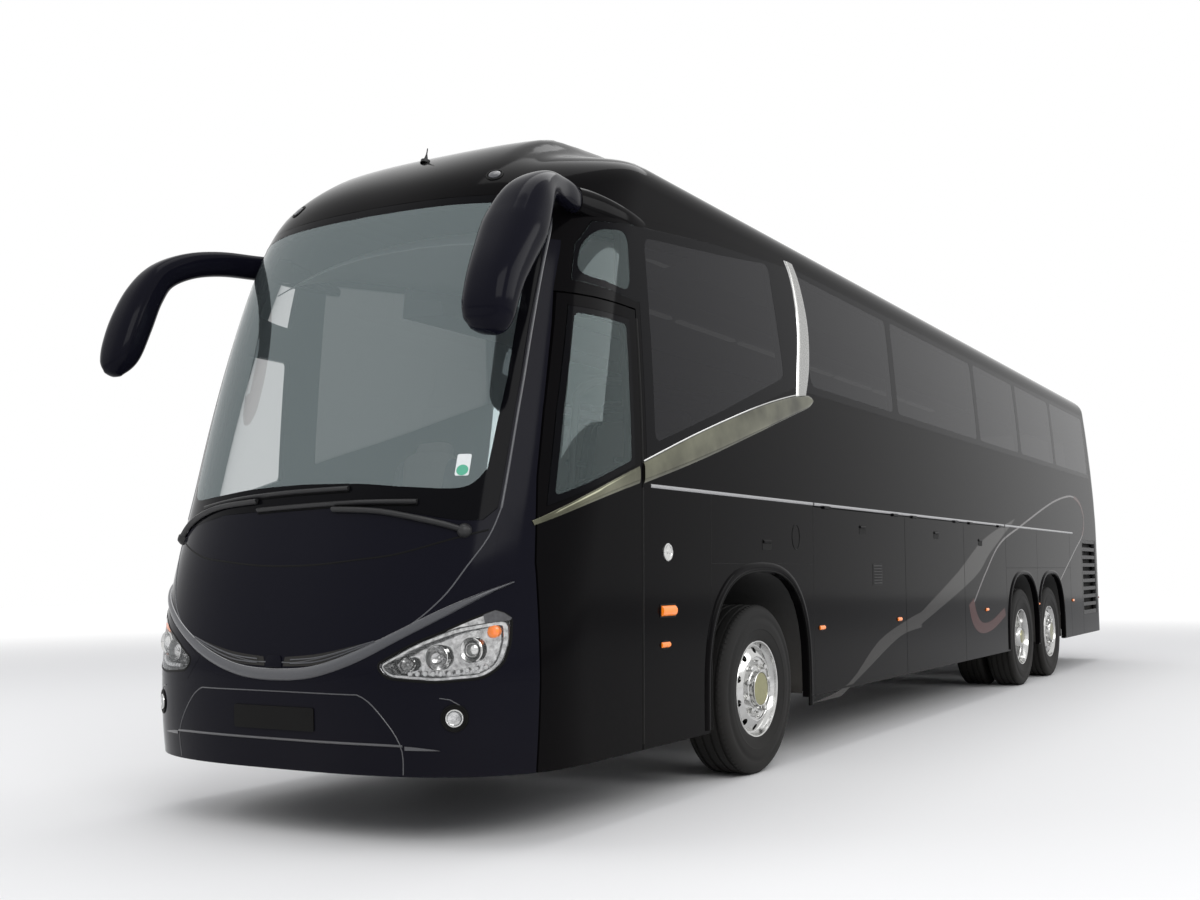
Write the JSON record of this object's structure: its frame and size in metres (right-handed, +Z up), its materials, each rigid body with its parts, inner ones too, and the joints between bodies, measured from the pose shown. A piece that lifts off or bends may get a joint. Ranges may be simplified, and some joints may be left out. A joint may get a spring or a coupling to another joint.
{
  "type": "three-axle touring coach",
  "caption": "Long black touring coach with a curved one-piece windscreen, hanging mirrors, one front plug door, lift-up side lockers and a twin-wheel drive axle ahead of a tag axle.",
  "frame": {"origin": "on the ground under the middle of the overall box", "axes": "+Z up, -Y towards the nose, +X towards the side with the passenger door"},
  "size_m": [2.716, 14.113, 3.82],
  "materials": {
    "black_paint": "gloss black paint",
    "dark_glass": "dark tinted",
    "screen_glass": "clear, slightly green",
    "tyre_rubber": "matt black rubber on a chromed steel wheel",
    "frame_steel": "satin black",
    "black_plastic": "textured black",
    "floor_grey": "dark grey floor covering over steel",
    "seat_cloth": "grey-beige cloth",
    "lamp_lens": "clear polycarbonate",
    "red_lens": "red polycarbonate",
    "cast_iron": "dark cast surface"
  },
  "bodies": {
    "coach_body": {"bumper": "black_paint", "nose_panel": "black_paint", "front_mask": "black_paint", "windscreen": "screen_glass", "roof": "black_paint", "side_wall_left": "black_paint", "side_wall_right": "black_paint", "side_glazing_left": "dark_glass", "side_glazing_right": "dark_glass", "driver_glass_right": "dark_glass", "radiator_grille": "black_plastic", "headlamp_left": "lamp_lens", "headlamp_right": "lamp_lens", "rear_wall": "black_paint", "rear_window": "dark_glass", "tail_lamp_left": "red_lens", "tail_lamp_right": "red_lens", "underframe": "floor_grey", "engine": "cast_iron", "entrance_steps": "floor_grey", "dashboard": "black_plastic", "driver_seat": "seat_cloth", "seats_left": "seat_cloth", "seats_right": "seat_cloth", "luggage_rack_left": "floor_grey", "luggage_rack_right": "floor_grey", "front_axle": "frame_steel", "drive_axle": "cast_iron", "tag_axle": "cast_iron", "mirror_left": "black_plastic", "mirror_right": "black_plastic"},
    "door_arm": {"door_arm": "frame_steel"},
    "door_leaf": {"door_leaf": "black_paint", "door_glass": "dark_glass"},
    "engine_lid": {"engine_lid": "black_paint"},
    "steering_wheel": {"steering_wheel": "black_plastic"},
    "knuckle_left": {"knuckle_left": "frame_steel"},
    "knuckle_right": {"knuckle_right": "frame_steel"},
    "locker_front_left": {"locker_front_left": "black_paint"},
    "locker_middle_left": {"locker_middle_left": "black_paint"},
    "locker_rear_left": {"locker_rear_left": "black_paint"},
    "wheel_front_left": {"wheel_front_left": "tyre_rubber"},
    "wheel_drive_left": {"wheel_drive_left": "tyre_rubber"},
    "wheel_tag_left": {"wheel_tag_left": "tyre_rubber"},
    "locker_front_right": {"locker_front_right": "black_paint"},
    "locker_middle_right": {"locker_middle_right": "black_paint"},
    "locker_rear_right": {"locker_rear_right": "black_paint"},
    "wheel_front_right": {"wheel_front_right": "tyre_rubber"},
    "wheel_drive_right": {"wheel_drive_right": "tyre_rubber"},
    "wheel_tag_right": {"wheel_tag_right": "tyre_rubber"}
  },
  "joints": [
    {"name": "steer_left", "type": "hinge", "parent": "coach_body", "child": "knuckle_left", "pos_m": [1, -4.21, 0.522], "axis": [0, 0, 1], "range_deg": [-40, 40]},
    {"name": "steer_right", "type": "hinge", "parent": "coach_body", "child": "knuckle_right", "pos_m": [-1, -4.21, 0.522], "axis": [0, 0, 1], "range_deg": [-40, 40]},
    {"name": "spin_front_left", "type": "hinge", "parent": "knuckle_left", "child": "wheel_front_left", "pos_m": [1.1075, -4.21, 0.522], "axis": [1, 0, 0], "continuous": true},
    {"name": "spin_front_right", "type": "hinge", "parent": "knuckle_right", "child": "wheel_front_right", "pos_m": [-1.1075, -4.21, 0.522], "axis": [1, 0, 0], "continuous": true},
    {"name": "spin_drive_left", "type": "hinge", "parent": "coach_body", "child": "wheel_drive_left", "pos_m": [1.1075, 2.54, 0.522], "axis": [1, 0, 0], "continuous": true},
    {"name": "spin_drive_right", "type": "hinge", "parent": "coach_body", "child": "wheel_drive_right", "pos_m": [-1.1075, 2.54, 0.522], "axis": [1, 0, 0], "continuous": true},
    {"name": "spin_tag_left", "type": "hinge", "parent": "coach_body", "child": "wheel_tag_left", "pos_m": [1.1075, 3.89, 0.522], "axis": [1, 0, 0], "continuous": true},
    {"name": "spin_tag_right", "type": "hinge", "parent": "coach_body", "child": "wheel_tag_right", "pos_m": [-1.1075, 3.89, 0.522], "axis": [1, 0, 0], "continuous": true},
    {"name": "steering_wheel_turn", "type": "hinge", "parent": "coach_body", "child": "steering_wheel", "pos_m": [-0.63, -6.07, 1.44], "axis": [0, 0.4695, 0.8829], "range_deg": [-720, 720]},
    {"name": "door_swing", "type": "hinge", "parent": "coach_body", "child": "door_arm", "pos_m": [1.05, -6.29, 0.33], "axis": [0, 0, -1], "range_deg": [0, 115]},
    {"name": "door_leaf_turn", "type": "hinge", "parent": "door_arm", "child": "door_leaf", "pos_m": [1.05, -5.755, 0.33], "axis": [0, 0, 1], "range_deg": [0, 115]},
    {"name": "lift_front_left", "type": "hinge", "parent": "coach_body", "child": "locker_front_left", "pos_m": [1.279, -2.4, 1.697], "axis": [0, -1, 0], "range_deg": [0, 88]},
    {"name": "lift_front_right", "type": "hinge", "parent": "coach_body", "child": "locker_front_right", "pos_m": [-1.279, -2.4, 1.697], "axis": [0, 1, 0], "range_deg": [0, 88]},
    {"name": "lift_middle_left", "type": "hinge", "parent": "coach_body", "child": "locker_middle_left", "pos_m": [1.279, -0.58, 1.697], "axis": [0, -1, 0], "range_deg": [0, 88]},
    {"name": "lift_middle_right", "type": "hinge", "parent": "coach_body", "child": "locker_middle_right", "pos_m": [-1.279, -0.58, 1.697], "axis": [0, 1, 0], "range_deg": [0, 88]},
    {"name": "lift_rear_left", "type": "hinge", "parent": "coach_body", "child": "locker_rear_left", "pos_m": [1.279, 1.04, 1.697], "axis": [0, -1, 0], "range_deg": [0, 88]},
    {"name": "lift_rear_right", "type": "hinge", "parent": "coach_body", "child": "locker_rear_right", "pos_m": [-1.279, 1.04, 1.697], "axis": [0, 1, 0], "range_deg": [0, 88]},
    {"name": "engine_lid_lift", "type": "hinge", "parent": "coach_body", "child": "engine_lid", "pos_m": [0, 7.0457, 1.753], "axis": [1, 0, 0], "range_deg": [0, 85]}
  ],
  "couplings": [
    {"joint": "steer_right", "follows": "steer_left", "ratio": 1},
    {"joint": "steering_wheel_turn", "follows": "steer_left", "ratio": 18},
    {"joint": "door_leaf_turn", "follows": "door_swing", "ratio": 1}
  ]
}
